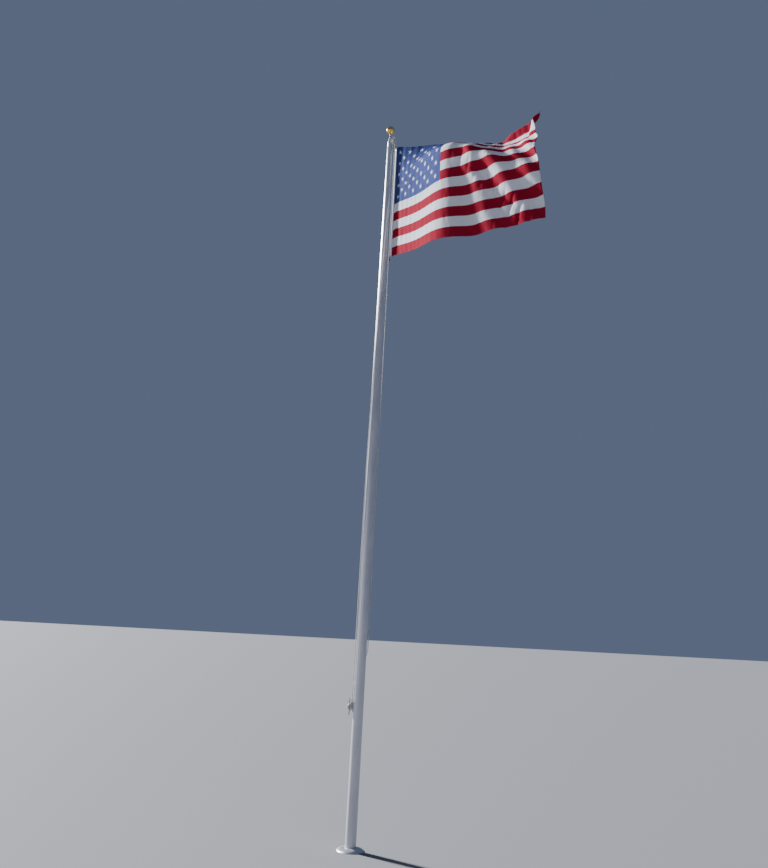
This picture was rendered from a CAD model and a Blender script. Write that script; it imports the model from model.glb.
"""Looks of the flagpole: its metals, rope and sewn flag, on a pale floor in soft light.

Metres, in the same frame as the solids: +Z up, the origin at the centre of the shaft's foot.
"""

from math import cos, pi, radians, sin

import bpy
import numpy as np
from mathutils import Matrix, Vector


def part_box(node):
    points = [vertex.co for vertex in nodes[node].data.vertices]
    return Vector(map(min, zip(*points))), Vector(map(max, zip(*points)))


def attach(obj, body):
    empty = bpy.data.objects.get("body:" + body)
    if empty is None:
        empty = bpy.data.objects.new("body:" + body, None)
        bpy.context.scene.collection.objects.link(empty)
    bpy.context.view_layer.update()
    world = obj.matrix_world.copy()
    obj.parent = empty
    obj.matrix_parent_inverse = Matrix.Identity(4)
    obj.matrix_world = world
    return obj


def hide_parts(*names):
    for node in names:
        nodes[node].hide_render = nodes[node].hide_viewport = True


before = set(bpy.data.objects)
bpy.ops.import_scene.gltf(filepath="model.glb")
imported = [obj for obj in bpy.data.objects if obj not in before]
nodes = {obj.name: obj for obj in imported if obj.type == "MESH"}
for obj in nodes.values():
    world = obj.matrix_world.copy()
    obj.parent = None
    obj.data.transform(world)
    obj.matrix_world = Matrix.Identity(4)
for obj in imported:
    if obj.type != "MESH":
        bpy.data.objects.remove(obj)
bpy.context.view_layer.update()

# Camera, from the photograph's vanishing lines and the pole's known sizes
IMAGE_HEIGHT = 868
EYE = Vector((0.0, -8.01, 1.83))
PITCH, YAW, ROLL = radians(20.15), radians(0.49), radians(3.05)
FOCAL_PIXELS = 760
CENTRE_ROW = 358
SENSOR_HEIGHT = 24.0
FAR_CLIP = 2000

# Sheave, rope and cleat, as in the solids
SHEAVE_AZIMUTH = radians(-20)
SHEAVE_OFFSET, SHEAVE_PITCH = 0.051, 0.040
ROPE_RADIUS = 0.004
CLEAT_HEIGHT = 1.190
CLEAT_PAD_FACE, CLEAT_FRONT = 0.0568, 0.0908

# Flag, as in the solids
FLAG_HOIST, FLAG_FLY, FLAG_TOP = 1.524, 2.4384, 7.548
HEADING_AZIMUTH, HEADING_REACH, HEADING_WIDTH, HEADING_THICK = -62.0, 0.026, 0.038, 0.003
STRIPES, CANTON_STRIPES = 13, 7
FIELD_START = HEADING_REACH + HEADING_WIDTH
FIELD_LENGTH = FLAG_FLY - HEADING_WIDTH
STRIPE = FLAG_HOIST / STRIPES
CANTON_LENGTH, CANTON_HEIGHT = 0.76 * FLAG_HOIST, STRIPE * CANTON_STRIPES

# Flag, thinner than in the solids: the cloth, what seams and hems add to each side, and how wide a hem is
CLOTH = 0.0008
SEAM, HEM, SEAM_EDGE = 0.0005, 0.022, 0.001

# Flag, the way of the cloth, in degrees and metres. Distances are measured along the fly from the field's
# start, and drops are measured down from its top edge. A band is where a form starts and how far it takes
# to grow to its full size.
PATH_STEPS = 24
FLAG_AZIMUTH, FLAG_TURN = -63.3, 24.7
FLAG_DROOP, FLAG_LIFT, DROOP_REACH = 19.5, 17.4, 0.053
WAVE_ANGLE, WAVE_PHASE, WAVE_LENGTH, WAVE_CHIRP = 15.44, 7.5, 1.555, 2.43
WAVE_SKEW, LATE_SKEW, SKEW_BAND = -0.167, 0.395, (1.087, 0.7)
TAUT, TAUT_BAND, TAUT_DROP = 0.85, (1.7, 0.25), (0.5, 0.3)
CALM_TURN, CALM_PLACE, CALM_WIDTH, CALM_DROP = 15.0, 1.50, 0.13, (0.6, 0.3)
FLY_PINCH, PINCH_TOP, PINCH_FOOT = 6.2, (0.15, 0.4), (1.35, 0.5)
FLY_SWING, SWING_FOOT, ASIDE_BAND = 0.6, (1.1, 0.4), (1.3, 0.5)
TOP_SAG, SAG_LENGTH, SAG_DROP = 0.050, 1.15, (0.8, 0.6)

# Flag, its upper part that leans back over a fold, and the standing top stripe
FOLD_START, FOLD_GROWTH, FOLD_TURN = 0.016, 1.18, 1.2
FOLD_DROP, FOLD_END_DROP, FOLD_ROLL = 0.482, 1.083, 0.202
FOLD_LEAN, FOLD_END_LEAN, FOLD_DRAG = 65.3, 31.1, 31.5
STAND, STAND_BAND, STAND_DROP = 0.85, (1.65, 0.35), (0.20, 0.16)

# Flag, the corner that the wind turns up
TIP_BAND = (FIELD_LENGTH - 0.17, 0.12)
TIP_CURL, TIP_TURN, TIP_DROP = 63.0, -10.0, (0.26, 0.2)
TIP_SPREAD, SPREAD_DROP = 0.105, (0.13, 0.13)
TIP_PULL, PULL_DROP = 0.068, (0.45, 0.2)

# Flag, fine forms: heights in metres. A row of ripples has its radians a metre along and down, its phase, and
# the share, radians a metre and phase of the slower ripple that bends it.
PUCKER_HEIGHT, PUCKER_REACH = 0.0007, 0.034
PUCKER_RIPPLES, PUCKER_SHARE = ((0.052, 1.9), (0.083, 4.1)), 0.9
PUCKER_MEAN, PUCKER_CHANGE, PUCKER_TURNS = 0.55, 0.45, (2.3, 2.7)
SLANT_HEIGHT, SLANT_REST, SLANT_REACH, SECOND_SLANT = 0.0016, 0.25, 0.5, 0.7
SLANT_ROWS = (((58, -7), 0, 1.2, (0, 6), 0), ((37, 11), 2, 0, (0, 0), 0))
CREASE_HEIGHT, CREASE_LEVEL, SECOND_CREASE = 0.009, 0.35, 0.8
CREASE_ROWS = (((23, 9), 0, 1.3, (0, 5), 1), ((17, -21), 0, 1.7, (7, 0), 0))
RIDGE_START, RIDGE_SLOPE, RIDGE_WIDTH, RIDGE_DROP = 1.0, 0.78, 0.11, (0.35, 0.2)
DIAGONAL_HEIGHT, DIAGONAL_WIDTH, DIAGONAL_DROP = 0.011, 0.07, (0.35, 0.3)
FOOT_PLACE, FOOT_WIDTH, FOOT_DROP = 2.08, 0.2, (1.1, 0.2)
TOP_SHARE, TOP_PLACE, TOP_WIDTH, TOP_DROP = 0.6, 1.62, 0.13, (0.2, 0.12)
FLAT_START = 0.06
NORMAL_STEP = 1e-3

axle_dir = Vector((cos(SHEAVE_AZIMUTH), sin(SHEAVE_AZIMUTH), 0))
rope_dir = Vector((-sin(SHEAVE_AZIMUTH), cos(SHEAVE_AZIMUTH), 0))
hoist_line = axle_dir * SHEAVE_OFFSET + rope_dir * SHEAVE_PITCH
fly_dir = Vector((cos(radians(HEADING_AZIMUTH)), sin(radians(HEADING_AZIMUTH)), 0))


# Materials
class Shade:
    """One node material, built from a few short calls."""

    def __init__(self, name):
        self.material = bpy.data.materials.new(name)
        self.material.use_nodes = True
        self.tree = self.material.node_tree
        self.surface = self.tree.nodes["Principled BSDF"]
        self.coords = self.tree.nodes.new("ShaderNodeTexCoord")

    def node(self, kind, **values):
        made = self.tree.nodes.new(kind)
        for key, value in values.items():
            setattr(made, key, value)
        return made

    def link(self, source, target):
        self.tree.links.new(source, target)

    def feed(self, target, value):
        if isinstance(value, (int, float, tuple)):
            target.default_value = value
        else:
            self.link(value, target)

    def set(self, **values):
        for key, value in values.items():
            self.surface.inputs[key.replace("_", " ")].default_value = value

    def math(self, operation, *values):
        made = self.node("ShaderNodeMath", operation=operation)
        for socket, value in zip(made.inputs, values):
            self.feed(socket, value)
        return made.outputs[0]

    def scaled(self, scale):
        made = self.node("ShaderNodeMapping")
        self.link(self.coords.outputs["Object"], made.inputs["Vector"])
        made.inputs["Scale"].default_value = scale
        return made.outputs[0]

    def noise(self, vector, scale, detail=4.0, rough=0.6):
        made = self.node("ShaderNodeTexNoise")
        self.link(vector, made.inputs["Vector"])
        made.inputs["Scale"].default_value = scale
        made.inputs["Detail"].default_value = detail
        made.inputs["Roughness"].default_value = rough
        return made.outputs["Fac"]

    def wave(self, vector, scale):
        made = self.node("ShaderNodeTexWave", bands_direction="DIAGONAL")
        self.link(vector, made.inputs["Vector"])
        made.inputs["Scale"].default_value = scale
        return made.outputs["Fac"]

    def spread(self, value, low=0.3, high=0.7, to_low=0.0, to_high=1.0):
        made = self.node("ShaderNodeMapRange")
        self.link(value, made.inputs["Value"])
        limits = {"From Min": low, "From Max": high, "To Min": to_low, "To Max": to_high}
        for socket, number in limits.items():
            made.inputs[socket].default_value = number
        return made.outputs[0]

    def mix(self, share, first, second):
        made = self.node("ShaderNodeMix", data_type="RGBA")
        self.feed(made.inputs[0], share)
        self.feed(made.inputs[6], first)
        self.feed(made.inputs[7], second)
        return made.outputs[2]

    def colour(self, value):
        self.link(value, self.surface.inputs["Base Color"])

    def roughness(self, value):
        self.link(value, self.surface.inputs["Roughness"])

    def bump(self, height, distance, strength=1.0):
        made = self.node("ShaderNodeBump")
        made.inputs["Strength"].default_value = strength
        made.inputs["Distance"].default_value = distance
        self.link(height, made.inputs["Height"])
        last = self.surface.inputs["Normal"]
        if last.links:
            self.link(last.links[0].from_socket, made.inputs["Normal"])
        self.link(made.outputs[0], last)


# Metals: the stretch and the scale of their blotches, and how much a grain line or a blotch changes the gloss
BLOTCH_STRETCH, BLOTCH_SCALE = (1, 1, 0.35), 9.0
LINE_GLOSS, BLOTCH_GLOSS = 0.07, 0.05
PLAIN, RINGED, DRAWN = (1, 1, 1), (1, 1, 14), (6, 6, 1)


def metal(name, colour, dark, rough, grain, scale, bump, metallic=1.0):
    """A metal with blotches, changes of gloss and a grain: a plain one, or one that runs round or along."""
    shade = Shade(name)
    shade.set(Metallic=metallic)
    lines = shade.noise(shade.scaled(grain), scale)
    blotch = shade.noise(shade.scaled(BLOTCH_STRETCH), BLOTCH_SCALE)
    shade.colour(shade.mix(shade.spread(blotch, 0.35), dark + (1,), colour + (1,)))
    line_gloss = shade.spread(lines, to_low=-LINE_GLOSS, to_high=LINE_GLOSS)
    blotch_gloss = shade.spread(blotch, to_low=-BLOTCH_GLOSS, to_high=BLOTCH_GLOSS)
    shade.roughness(shade.math("ADD", shade.math("ADD", line_gloss, blotch_gloss), rough))
    shade.bump(lines, bump)
    return shade


def turned(shade, share):
    """Stretches the gloss of a turned or drawn metal up and down, across the marks that run round it."""
    ring = shade.node("ShaderNodeTangent", direction_type="RADIAL", axis="Z")
    shade.set(Anisotropic=share)
    shade.link(ring.outputs[0], shade.surface.inputs["Tangent"])


# Each metal's colour and that of its blotches, its roughness, its grain with scale and relief, and its share
# of bare metal where that isn't all
shaft_metal = metal("shaft_metal", (0.72, 0.72, 0.77), (0.60, 0.60, 0.65), 0.38, RINGED, 60, 0.00012, 0.4)
spun_metal = metal("spun_metal", (0.66, 0.67, 0.70), (0.56, 0.57, 0.60), 0.30, RINGED, 80, 0.00010, 0.6)
cast_metal = metal("cast_metal", (0.56, 0.57, 0.60), (0.44, 0.45, 0.48), 0.44, PLAIN, 240, 0.00030, 0.6)
steel = metal("stainless_steel", (0.55, 0.55, 0.54), (0.46, 0.46, 0.45), 0.26, DRAWN, 180, 0.00005)
bronze = metal("snap_bronze", (0.070, 0.055, 0.040), (0.030, 0.025, 0.022), 0.50, PLAIN, 260, 0.00018)
brass = metal("grommet_brass", (0.72, 0.52, 0.22), (0.55, 0.38, 0.16), 0.30, PLAIN, 220, 0.00006)
gold = metal("gold_leaf", (0.90, 0.62, 0.20), (0.74, 0.48, 0.13), 0.27, PLAIN, 40, 0.00010)

turned(shaft_metal, 0.85)
turned(spun_metal, 0.5)

nylon = Shade("sheave_nylon")
nylon.set(Roughness=0.42, Specular_IOR_Level=0.45)
nylon_blotch = nylon.noise(nylon.scaled(PLAIN), 60)
nylon.colour(nylon.mix(nylon.spread(nylon_blotch), (0.72, 0.72, 0.70, 1), (0.82, 0.82, 0.80, 1)))
nylon.bump(nylon_blotch, 0.0001)

# Rope: strands that cross as two rows of slanted bands, with soil in patches
STRANDS, STRAND_LEAN = 42.0, 1.2
SOIL_STRETCH, SOIL_SCALE = (1, 1, 0.3), 7.0
SOILED, CLEAN, GROOVE = (0.62, 0.61, 0.58, 1), (0.80, 0.80, 0.78, 1), (0.42, 0.42, 0.40, 1)
braid = Shade("rope_braid")
braid.set(Roughness=0.75, Sheen_Weight=0.25, Sheen_Roughness=0.5)
strand_left = braid.wave(braid.scaled((STRAND_LEAN, STRAND_LEAN, 1)), STRANDS)
strand_right = braid.wave(braid.scaled((-STRAND_LEAN, -STRAND_LEAN, 1)), STRANDS)
crossing = braid.math("MAXIMUM", strand_left, strand_right)
soil = braid.noise(braid.scaled(SOIL_STRETCH), SOIL_SCALE, 3.0, 0.5)
rope_white = braid.mix(braid.spread(soil, 0.35), SOILED, CLEAN)
braid.colour(braid.mix(braid.spread(crossing, 0.2, 0.9), GROOVE, rope_white))
braid.bump(crossing, 0.0006)

# Cloth: its gloss and weave, and the rows of stitches beside the seams
CLOTH_ROUGH, CLOTH_GLOSS, CLOTH_BLOTCH = 0.8, 0.012, 3.0
FIELD_WEAVE, HEADING_WEAVE = 1400.0, 700.0
WEAVE_RELIEF, WEAVE_STRENGTH, STITCH_RELIEF = 0.00008, 0.6, 0.0004
ROW_OFFSET, ROW_WIDTH, STITCH_TURNS, STITCH_LEVEL = 0.0036, 0.0007, 1900.0, -0.4
THREAD_SHARE, THREAD_GREY, THREAD_SHOWS = 0.4, 0.75, 0.5


def cloth(name, colour, shaded, glow, weave):
    """Sewn nylon: a fine weave, rows of stitches along the seams and light that comes through."""
    shade = Shade(name)
    shade.set(Roughness=CLOTH_ROUGH, Specular_IOR_Level=CLOTH_GLOSS)
    uv = shade.coords.outputs["UV"]
    split = shade.node("ShaderNodeSeparateXYZ")
    shade.link(uv, split.inputs[0])
    across, down = split.outputs[0], split.outputs[1]
    warp = shade.math("SINE", shade.math("MULTIPLY", across, weave))
    weft = shade.math("SINE", shade.math("MULTIPLY", down, weave))
    threads = shade.math("MULTIPLY", warp, weft)
    blotch = shade.noise(uv, CLOTH_BLOTCH)
    plain = shade.mix(shade.spread(blotch), shaded + (1,), colour + (1,))
    from_seam = shade.math("PINGPONG", down, STRIPE / 2)
    row = shade.math("COMPARE", from_seam, ROW_OFFSET, ROW_WIDTH)
    along_row = shade.math("SINE", shade.math("MULTIPLY", across, STITCH_TURNS))
    sewn = shade.math("MULTIPLY", row, shade.math("GREATER_THAN", along_row, STITCH_LEVEL))
    thread = tuple((1 - THREAD_SHARE) * value + THREAD_SHARE * THREAD_GREY for value in colour)
    shade.colour(shade.mix(shade.math("MULTIPLY", sewn, THREAD_SHOWS), plain, thread + (1,)))
    shade.bump(threads, WEAVE_RELIEF, WEAVE_STRENGTH)
    shade.bump(sewn, STITCH_RELIEF)
    through = shade.node("ShaderNodeBsdfTranslucent")
    through.inputs["Color"].default_value = colour + (1,)
    both = shade.node("ShaderNodeMixShader")
    both.inputs[0].default_value = glow
    shade.link(shade.surface.outputs[0], both.inputs[1])
    shade.link(through.outputs[0], both.inputs[2])
    shade.link(both.outputs[0], shade.tree.nodes["Material Output"].inputs["Surface"])
    return shade


red = cloth("nylon_red", (0.33, 0.011, 0.032), (0.27, 0.007, 0.024), 0.03, FIELD_WEAVE)
white = cloth("nylon_white", (0.84, 0.85, 0.90), (0.78, 0.79, 0.84), 0.24, FIELD_WEAVE)
blue = cloth("nylon_blue", (0.050, 0.072, 0.23), (0.040, 0.058, 0.19), 0.06, FIELD_WEAVE)
canvas = cloth("heading_canvas", (0.88, 0.89, 0.92), (0.80, 0.81, 0.84), 0.05, HEADING_WEAVE)

LOOKS = {
    "shaft": shaft_metal,
    "flash_collar": spun_metal,
    "truck": cast_metal,
    "truck_set_screws": steel,
    "sheave": nylon,
    "sheave_axle": steel,
    "finial_ball": gold,
    "ball_spindle": steel,
    "ball_lock_nut": steel,
    "cleat": cast_metal,
    "cleat_screws": steel,
    "halyard_over_sheave": braid,
    "halyard_hoist_fall": braid,
    "halyard_return_fall": braid,
    "cleat_turns": braid,
    "top_grommet": brass,
    "foot_grommet": brass,
    "flag_heading": canvas,
}
for end in ("top", "foot"):
    LOOKS[f"{end}_snap_knots"] = braid
    for part in ("eye", "hook", "gate"):
        LOOKS[f"{end}_snap_{part}"] = bronze


def dress(piece, *shades):
    """Gives a piece or a node its materials, and no others."""
    piece.data.materials.clear()
    for shade in shades:
        piece.data.materials.append(shade.material)


for name, shade in LOOKS.items():
    dress(nodes[name], shade)


def add_piece(name, vertices, faces, shades, body=None, kinds=None, uv=None):
    """Makes a smooth mesh object from points and faces, and sets it on a body."""
    mesh = bpy.data.meshes.new(name)
    mesh.from_pydata([tuple(map(float, v)) for v in vertices], [], faces)
    made = bpy.data.objects.new(name, mesh)
    dress(made, *shades)
    if kinds is not None:
        mesh.polygons.foreach_set("material_index", kinds)
    mesh.polygons.foreach_set("use_smooth", [True] * len(faces))
    if uv is not None:
        layer = mesh.uv_layers.new(name="cloth")
        corners = np.zeros(len(mesh.loops), dtype=np.int32)
        mesh.loops.foreach_get("vertex_index", corners)
        layer.data.foreach_set("uv", uv[corners].ravel().astype(np.float32))
    bpy.context.scene.collection.objects.link(made)
    if body:
        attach(made, body)
    return made


# Flag: the form of its field
def ease(share):
    """Rises smoothly from 0 to 1 as the share does."""
    share = np.clip(share, 0, 1)
    return share * share * (3 - 2 * share)


def rises(value, band):
    """Grows from 0 at the band's start to 1 where the value is higher by its width."""
    start, width = band
    return ease((value - start) / width)


def falls(value, band):
    """Grows from 0 at the band's start to 1 where the value is lower by its width."""
    start, width = band
    return ease((start - value) / width)


def bell(value, middle, width):
    """One at the middle, and fading to both sides."""
    return np.exp(-(((value - middle) / width) ** 2))


def cloth_way(along, drop):
    """The way from the field's start along the fly: it droops, lifts, turns and waves ever faster."""
    piece = along / PATH_STEPS
    x, y, z = np.zeros_like(along), np.zeros_like(along), np.zeros_like(along)
    aside = FLY_SWING * rises(drop, SWING_FOOT) - FLY_PINCH * rises(drop, PINCH_TOP) * falls(drop, PINCH_FOOT)
    for step in range(PATH_STEPS):
        here = (step + 0.5) * piece
        grown = 1 - np.exp(-here / DROOP_REACH)
        skew = WAVE_SKEW + (LATE_SKEW - WAVE_SKEW) * rises(here, SKEW_BAND)
        wave = 2 * pi * (here * (1 + skew * (1 - drop / FLAG_HOIST)) / WAVE_LENGTH) ** WAVE_CHIRP
        tip = rises(here, TIP_BAND) * falls(drop, TIP_DROP)
        taut = 1 - TAUT * rises(here, TAUT_BAND) * falls(drop, TAUT_DROP)
        turn = FLAG_TURN * here / FIELD_LENGTH
        turn = turn - WAVE_ANGLE * grown * taut * np.sin(wave + radians(WAVE_PHASE))
        turn = turn + CALM_TURN * bell(here, CALM_PLACE, CALM_WIDTH) * rises(drop, CALM_DROP)
        heading = np.radians(FLAG_AZIMUTH + turn + aside * rises(here, ASIDE_BAND) + TIP_TURN * tip)
        sink = np.radians(FLAG_DROOP * grown - FLAG_LIFT * here / FIELD_LENGTH - TIP_CURL * tip)
        x += piece * np.cos(heading) * np.cos(sink)
        y += piece * np.sin(heading) * np.cos(sink)
        z -= piece * np.sin(sink)
    return x, y, z


def lean_back(along, drop, late):
    """How far the part over the fold is set back and brought down."""
    fold = FOLD_DROP + (FOLD_END_DROP - FOLD_DROP) * late
    lean_most = FOLD_LEAN + (FOLD_END_LEAN - FOLD_LEAN) * late
    most = rises(along, (FOLD_START, FOLD_GROWTH)) * lean_most
    span = (FLAG_HOIST - drop) / PATH_STEPS
    back, down = np.zeros_like(along), np.zeros_like(along)
    for step in range(PATH_STEPS):
        there = FLAG_HOIST - (step + 0.5) * span
        stands = 1 - STAND * rises(along, STAND_BAND) * falls(there, STAND_DROP)
        lean = np.radians(most) * ease((fold - there) / FOLD_ROLL) * stands
        back += span * np.sin(lean)
        down += span * (1 - np.cos(lean))
    return back, down


def flag_point(along, drop):
    """Points of the field, so far along the fly from its start and so far below its top edge."""
    x, y, z = cloth_way(along, drop)
    late = rises(along, (FOLD_TURN, FIELD_LENGTH - FOLD_TURN))
    back, down = lean_back(along, drop, late)
    sag = TOP_SAG * np.sin(2 * pi * np.minimum(along, SAG_LENGTH) / SAG_LENGTH) * falls(drop, SAG_DROP)
    flip = TIP_SPREAD * falls(drop, SPREAD_DROP) - TIP_PULL * falls(drop, PULL_DROP)
    behind = np.radians(FLAG_AZIMUTH + FLAG_TURN / 2 + FOLD_DRAG * late + 90)
    start = hoist_line + fly_dir * FIELD_START
    x = start.x + x + rises(along, TIP_BAND) * flip + back * np.cos(behind)
    y = start.y + y + back * np.sin(behind)
    return np.stack([x, y, FLAG_TOP - drop + z - down - sag], axis=-1)


def ripples(along, drop, row):
    """A row of ripples whose lines are bent by a slower one."""
    turns, phase, share, slow_turns, slow_phase = row
    slow = share * np.sin(slow_turns[0] * along + slow_turns[1] * drop + slow_phase)
    return np.sin(turns[0] * along + turns[1] * drop + slow + phase)


def creases(along, drop):
    """Sharp short folds, from crossed rows of ridges that shift with each other."""
    first, second = (np.abs(ripples(along, drop, row)) for row in CREASE_ROWS)
    return (1 - first) ** 2 + SECOND_CREASE * (1 - second) ** 2 - CREASE_LEVEL


def puckers(along, drop):
    """Short ripples where stripes are sewn together, each seam's its own."""
    total = np.zeros_like(along)
    for seam in range(STRIPES + 1):
        first, second = (np.sin(2 * pi * along / pitch + shift * seam) for pitch, shift in PUCKER_RIPPLES)
        strength = PUCKER_MEAN + PUCKER_CHANGE * np.sin(PUCKER_TURNS[0] * along + PUCKER_TURNS[1] * seam)
        total = total + bell(drop, seam * STRIPE, PUCKER_REACH) * (first + PUCKER_SHARE * second) * strength
    return total


def relief(along, drop):
    """How far fine forms stand out: puckers, folds that slant off the hoist, a diagonal fold and creases."""
    first, second = (ripples(along, drop, row) for row in SLANT_ROWS)
    slants = (first + SECOND_SLANT * second) * (SLANT_REST + np.exp(-along / SLANT_REACH))
    from_ridge = along - RIDGE_START - RIDGE_SLOPE * drop
    fold = from_ridge / DIAGONAL_WIDTH
    ridge = bell(from_ridge, 0, RIDGE_WIDTH) * rises(drop, RIDGE_DROP)
    foot = bell(along, FOOT_PLACE, FOOT_WIDTH) * rises(drop, FOOT_DROP)
    top = TOP_SHARE * falls(drop, TOP_DROP) * bell(along, TOP_PLACE, TOP_WIDTH)
    height = DIAGONAL_HEIGHT * fold * np.exp(-(fold**2) / 2) * rises(drop, DIAGONAL_DROP)
    height = height + PUCKER_HEIGHT * puckers(along, drop) + SLANT_HEIGHT * slants
    height = height + CREASE_HEIGHT * creases(along, drop) * (ridge + foot + top)
    return height * ease(along / FLAT_START)


def surface(along, drop, offset):
    """Points set off from the creased field by so much."""
    middle = flag_point(along, drop)
    along_edge = flag_point(along + NORMAL_STEP, drop) - middle
    down_edge = flag_point(along, drop + NORMAL_STEP) - middle
    normal = np.cross(along_edge, down_edge)
    normal /= np.linalg.norm(normal, axis=-1, keepdims=True)
    return middle + normal * (relief(along, drop) + offset)[..., None]


def graded(marks, step):
    """Values from the first mark to the last that meet each mark, no further apart than the step."""
    values = [marks[0]]
    for low, high in zip(marks, marks[1:]):
        count = max(1, round((high - low) / step))
        values += [low + (high - low) * k / count for k in range(1, count + 1)]
    return np.array(values)


# Flag: one mesh, its faces red, white or blue, thicker at seams and hems
STRIPE_ROWS = (0, 0.035, 0.18, 0.34, 0.5, 0.66, 0.82, 0.965)
COLUMN_STEP = 0.0115
RED, WHITE, BLUE = 0, 1, 2
hem_start = FIELD_LENGTH - HEM
columns = graded([0, CANTON_LENGTH, hem_start, hem_start + SEAM_EDGE, FIELD_LENGTH], COLUMN_STEP)
rows = [(stripe + share) * STRIPE for stripe in range(STRIPES) for share in STRIPE_ROWS] + [FLAG_HOIST]
along, drop = np.meshgrid(columns, np.array(rows))
seams = [1] + [0] * (len(STRIPE_ROWS) - 1)
in_canton = (along < CANTON_LENGTH) & (drop < CANTON_HEIGHT - SEAM_EDGE) & (drop > 0)
sewn = np.array(seams * STRIPES + [1])[:, None] * np.where(in_canton, 0, 1)
half = CLOTH / 2 + SEAM * np.maximum(sewn, (along > hem_start) + 0.0)
front, back = surface(along, drop, half), surface(along, drop, -half)
wide, high = len(columns), len(rows)
count = wide * high


def kind_at(column, row):
    """The colour of the cloth right of a column and below a row."""
    stripe = min(row, high - 2) // len(STRIPE_ROWS)
    if columns[column] < CANTON_LENGTH - SEAM_EDGE and stripe < CANTON_STRIPES:
        return BLUE
    return WHITE if stripe % 2 else RED


faces, kinds = [], []
for row in range(high - 1):
    for column in range(wide - 1):
        a = row * wide + column
        faces.append((a, a + 1, a + wide + 1, a + wide))
        faces.append((a + count, a + wide + count, a + wide + 1 + count, a + 1 + count))
        kinds += [kind_at(column, row)] * 2
rim = [row * wide for row in range(high)] + [(high - 1) * wide + column for column in range(1, wide)]
rim += [row * wide + wide - 1 for row in range(high - 2, -1, -1)] + list(range(wide - 2, 0, -1))
for a, b in zip(rim, rim[1:] + rim[:1]):
    faces.append((a, b, b + count, a + count))
    kinds.append(kind_at(min(a, b) % wide, max(a, b) // wide))
vertices = np.concatenate([front.reshape(-1, 3), back.reshape(-1, 3)])
flat = np.stack([along.ravel(), drop.ravel()], axis=-1)
both_flat = np.concatenate([flat, flat])
field = add_piece("flag_field", vertices, faces, (red, white, blue), "flag", kinds, both_flat)
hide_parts("flag_canton", "flag_red_stripes", "flag_white_stripes")

# Flag: stars sewn on both sides, in nine rows of six and five by turns
STAR_ROWS, STAR_COLUMNS = 9, 11
STAR_RADIUS = 0.0235 * FLAG_HOIST
STAR_WAIST = 0.382
STAR_RINGS = (0.3, 0.6, 0.9, 1.0)
STAR_LIFT = 0.0006
reaches = [1, STAR_WAIST] * 5
corners = [(reach * sin(k * pi / 5), -reach * cos(k * pi / 5)) for k, reach in enumerate(reaches)]
outline = []
for start, end in zip(corners, corners[1:] + corners[:1]):
    outline += [start, ((start[0] + end[0]) / 2, (start[1] + end[1]) / 2)]
star_vertices, star_faces, star_flat = [], [], []


def add_star(middle_x, middle_y, side):
    """One star on one side of the cloth, in rings that follow its waves."""
    first, size = len(star_vertices), len(outline)
    reach, fall = [middle_x], [middle_y]
    for ring in STAR_RINGS:
        reach += [middle_x + STAR_RADIUS * ring * x for x, y in outline]
        fall += [middle_y + STAR_RADIUS * ring * y for x, y in outline]
    lift = np.full(len(reach), side * (CLOTH / 2 + STAR_LIFT))
    lift[-size:] = side * CLOTH / 2
    star_vertices.extend(surface(np.array(reach), np.array(fall), lift))
    star_flat.extend(zip(reach, fall))
    for i in range(size):
        j = (i + 1) % size
        made = [(first, first + 1 + i, first + 1 + j)]
        for a in range(first + 1, first + 1 + size * (len(STAR_RINGS) - 1), size):
            made.append((a + i, a + size + i, a + size + j, a + j))
        star_faces.extend(face if side > 0 else face[::-1] for face in made)


for side in (1, -1):
    for row in range(STAR_ROWS):
        for column in range(row % 2, STAR_COLUMNS, 2):
            star_x = CANTON_LENGTH * (column + 1) / (STAR_COLUMNS + 1)
            star_y = CANTON_HEIGHT * (row + 1) / (STAR_ROWS + 1)
            add_star(star_x, star_y, side)
star_uv = np.array(star_flat)
stars = add_piece("canton_stars", star_vertices, star_faces, (white,), "flag", None, star_uv)


# Halyard: round turns and crossed turns on the cleat, and wound knots above and below each snap
def rope(name, routes, radius, body, loops, *replaced):
    """Makes round rope or cord along smooth routes, closed or open."""
    curve = bpy.data.curves.new(name, "CURVE")
    curve.dimensions = "3D"
    curve.bevel_depth = radius
    curve.bevel_resolution = 3
    curve.resolution_u = 6
    for route in routes:
        spline = curve.splines.new("NURBS")
        spline.points.add(len(route) - 1)
        for point, place in zip(spline.points, route):
            point.co = (*place, 1)
        spline.order_u = 3
        spline.use_cyclic_u = loops
        spline.use_endpoint_u = not loops
    curve.use_fill_caps = not loops
    made = bpy.data.objects.new(name, curve)
    bpy.context.scene.collection.objects.link(made)
    dress(made, braid)
    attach(made, body)
    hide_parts(*replaced)


# Cleat: the corners of a round turn's upper half as shares of its half sides, and places on a crossed turn as
# distances out from the shaft's axis, aside and up from the cleat's middle
TURN_SIDE, TURN_RISE, TURN_GAP = 0.0145, 0.0195, 0.0004
TURN_TOP = ((1, 0.45), (1, 1), (0.35, 1), (-0.35, 1), (-1, 1), (-1, 0.45))
CROSS_HALF = [(0.067, 0.0150, 0.0275), (0.067, -0.0150, 0.0275)]
CROSS_HALF += [(0.080, -0.0165, 0.0245), (0.093, -0.0155, 0.0170)]
CROSS_SIDE, CROSS_RISE = 0.0070, 0.0060
CROSS_RAISED, CROSS_LAYER = 0.0065, 0.0085


def round_turn(distance):
    """A turn round the cleat's neck, so far out from the shaft's axis."""
    around = list(TURN_TOP) + [(-y, -z) for y, z in TURN_TOP]
    return [(-distance, y * TURN_SIDE, CLEAT_HEIGHT + z * TURN_RISE) for y, z in around]


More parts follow.
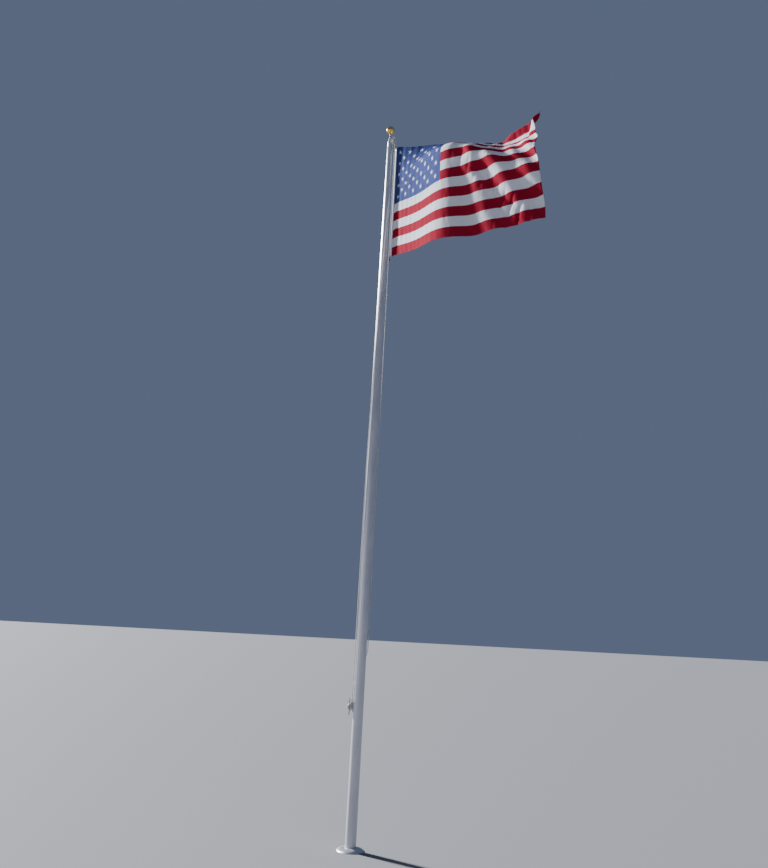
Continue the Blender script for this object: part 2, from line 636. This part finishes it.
def crossed_turn():
    """A figure of eight: behind one horn, over the front, behind the other, and back on top."""
    points = []
    for layer, up in enumerate((1, -1)):
        front = CLEAT_FRONT + CROSS_RAISED + layer * CROSS_LAYER
        half = CROSS_HALF + [(front, -CROSS_SIDE, CROSS_RISE), (front, CROSS_SIDE, -CROSS_RISE)]
        half += [(out, -aside, -rise) for out, aside, rise in CROSS_HALF[:1:-1]]
        points += [(-out, aside, up * rise + CLEAT_HEIGHT) for out, aside, rise in half]
    return points


turns = [round_turn(CLEAT_PAD_FACE + (2 * k + 1) * ROPE_RADIUS + (k + 1) * TURN_GAP) for k in range(2)]
rope("cleat_hitch", turns + [crossed_turn()], ROPE_RADIUS, "pole", True, "cleat_turns")

# Knots: thin cord wound round the halyard above and below each snap
KNOT_CORD, KNOT_TURNS, KNOT_HEIGHT, KNOT_STEPS = 0.0019, 4, 0.014, 10


def wound_cord(base, radius):
    """A cord wound up from a base round the hoist line."""
    steps = KNOT_STEPS * KNOT_TURNS
    rise = (KNOT_HEIGHT - 2 * KNOT_CORD) / steps
    angles = [2 * pi * k / KNOT_STEPS for k in range(steps + 1)]
    return [
        (hoist_line.x + radius * cos(angle), hoist_line.y + radius * sin(angle), base + KNOT_CORD + rise * k)
        for k, angle in enumerate(angles)
    ]


for end in ("top", "foot"):
    lowest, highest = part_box(f"{end}_snap_knots")
    radius = (highest[0] - lowest[0]) / 2 - KNOT_CORD
    wound = [wound_cord(base, radius) for base in (lowest[2], highest[2] - KNOT_HEIGHT)]
    rope(f"{end}_wound_knots", wound, KNOT_CORD, "halyard_knots", False, f"{end}_snap_knots")

# Heading: rows of short stitches down both faces
STITCH_ROWS = (0.0035, 0.0290, 0.0345)
STITCH_PITCH, STITCH_HALF, STITCH_RADIUS = 0.0046, 0.0017, 0.00045
STITCH_MARGIN, ROW_MARGIN = 0.008, 0.012
STITCH_SIDES = 4
across = Vector((-fly_dir.y, fly_dir.x, 0))
up = Vector((0, 0, 1))
stitches, stitch_faces = [], []
for side in (1, -1):
    for row in STITCH_ROWS:
        foot = hoist_line + fly_dir * (HEADING_REACH + row) + across * side * HEADING_THICK / 2
        for k in range(int((FLAG_HOIST - ROW_MARGIN) / STITCH_PITCH)):
            middle = foot + up * (FLAG_TOP - STITCH_MARGIN - k * STITCH_PITCH)
            first = len(stitches)
            stitches += [middle + up * STITCH_HALF, middle - up * STITCH_HALF]
            stitches += [middle + fly_dir * STITCH_RADIUS, middle + across * side * STITCH_RADIUS]
            stitches += [middle - fly_dir * STITCH_RADIUS, middle - across * side * STITCH_RADIUS]
            for i in range(STITCH_SIDES):
                a, b = first + 2 + i, first + 2 + (i + 1) % STITCH_SIDES
                stitch_faces += [(first, a, b), (first + 1, b, a)]
add_piece("heading_stitches", stitches, stitch_faces, (white,), "flag")

# Floor, world and lights
FLOOR = 400.0
AMBIENT, AMBIENT_STRENGTH = (0.44, 0.56, 0.88, 1), 0.24
KEY = {"place": (-12.8, 9.2, 15.3), "aim": (0.6, -0.6, 6.0), "power": 13.0, "colour": (0.97, 0.98, 1.0)}
FILL = {"place": (-9.0, -6.0, 3.0), "aim": (0.0, 0.0, 3.0), "power": 120, "colour": (0.95, 0.97, 1.0)}
KEY_ANGLE, FILL_SIZE = radians(5), 5.0

pale = Shade("pale_floor")
pale.set(Base_Color=(0.19, 0.195, 0.21, 1), Roughness=0.9)
floor_corners = [(-FLOOR, -FLOOR, 0), (FLOOR, -FLOOR, 0), (FLOOR, FLOOR, 0), (-FLOOR, FLOOR, 0)]
add_piece("floor", floor_corners, [(0, 1, 2, 3)], (pale,))

world = bpy.data.worlds.new("studio")
world.use_nodes = True
background = world.node_tree.nodes["Background"]
background.inputs["Color"].default_value = AMBIENT
background.inputs["Strength"].default_value = AMBIENT_STRENGTH
bpy.context.scene.world = world


def lamp(name, place, aim, power, colour, size=None, angle=None):
    """A soft light that looks at a point: a square one, or a far one with an angle."""
    data = bpy.data.lights.new(name, "AREA" if size else "SUN")
    if size:
        data.size = size
    else:
        data.angle = angle
    data.energy = power
    data.color = colour
    made = bpy.data.objects.new(name, data)
    made.location = place
    made.rotation_euler = (Vector(aim) - Vector(place)).to_track_quat("-Z", "Y").to_euler()
    bpy.context.scene.collection.objects.link(made)


lamp("key", **KEY, angle=KEY_ANGLE)
lamp("low_fill", **FILL, size=FILL_SIZE)

# Camera
forward = Vector((sin(YAW) * cos(PITCH), cos(YAW) * cos(PITCH), sin(PITCH)))
level = Vector((cos(YAW), -sin(YAW), 0))
upward = level.cross(forward)
rightward = level * cos(ROLL) + upward * sin(ROLL)
upright = upward * cos(ROLL) - level * sin(ROLL)
camera_data = bpy.data.cameras.new("camera")
camera_data.sensor_fit = "VERTICAL"
camera_data.sensor_height = SENSOR_HEIGHT
camera_data.lens = FOCAL_PIXELS / IMAGE_HEIGHT * SENSOR_HEIGHT
camera_data.shift_y = (CENTRE_ROW - IMAGE_HEIGHT / 2) / IMAGE_HEIGHT
camera_data.clip_end = FAR_CLIP
camera = bpy.data.objects.new("camera", camera_data)
axes = Matrix((rightward, upright, -forward)).transposed().to_4x4()
camera.matrix_world = Matrix.Translation(EYE) @ axes
bpy.context.scene.collection.objects.link(camera)
bpy.context.scene.camera = camera
